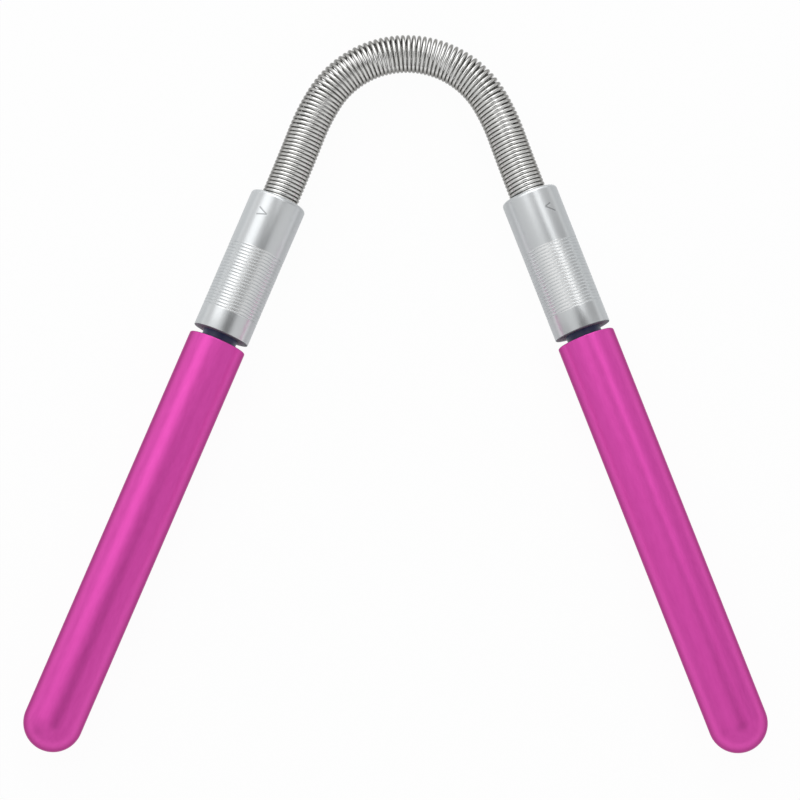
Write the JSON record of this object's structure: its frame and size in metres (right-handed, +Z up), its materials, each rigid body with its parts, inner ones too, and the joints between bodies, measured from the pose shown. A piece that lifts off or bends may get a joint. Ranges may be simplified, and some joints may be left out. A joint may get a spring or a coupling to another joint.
{
  "type": "facial hair removal spring",
  "caption": "Close-wound steel coil spring bent into an arch, with a ringed metal sleeve and a round swivelling handle at each end, lying flat.",
  "frame": {"origin": "bottom centre of the box round the part, on the surface it lies on", "axes": "+Z up from the surface, +Y from the handles towards the crown of the coil, +X from the left handle to the right one"},
  "size_m": [0.1182, 0.1173, 0.0095],
  "materials": {
    "spring_steel": "bright drawn stainless spring wire",
    "satin_aluminium": "fine satin, clear anodised",
    "black_acetal": "smooth moulded",
    "pin_steel": "turned",
    "pink_aluminium": "satin, dyed pink in the anodising"
  },
  "bodies": {
    "spring": {"coil": "spring_steel", "grip_sleeve_left": "satin_aluminium", "grip_sleeve_right": "satin_aluminium", "swivel_bush_left": "black_acetal", "swivel_bush_right": "black_acetal"},
    "left_handle": {"handle_left": "pink_aluminium", "swivel_pin_left": "pin_steel"},
    "right_handle": {"handle_right": "pink_aluminium", "swivel_pin_right": "pin_steel"}
  },
  "joints": [
    {"name": "left_swivel", "type": "hinge", "parent": "spring", "child": "left_handle", "pos_m": [-0.02961, 0.00753, 0.00475], "axis": [-0.373, -0.9278, 0], "continuous": true},
    {"name": "right_swivel", "type": "hinge", "parent": "spring", "child": "right_handle", "pos_m": [0.02961, 0.00911, 0.00475], "axis": [0.373, -0.9278, 0], "continuous": true}
  ]
}
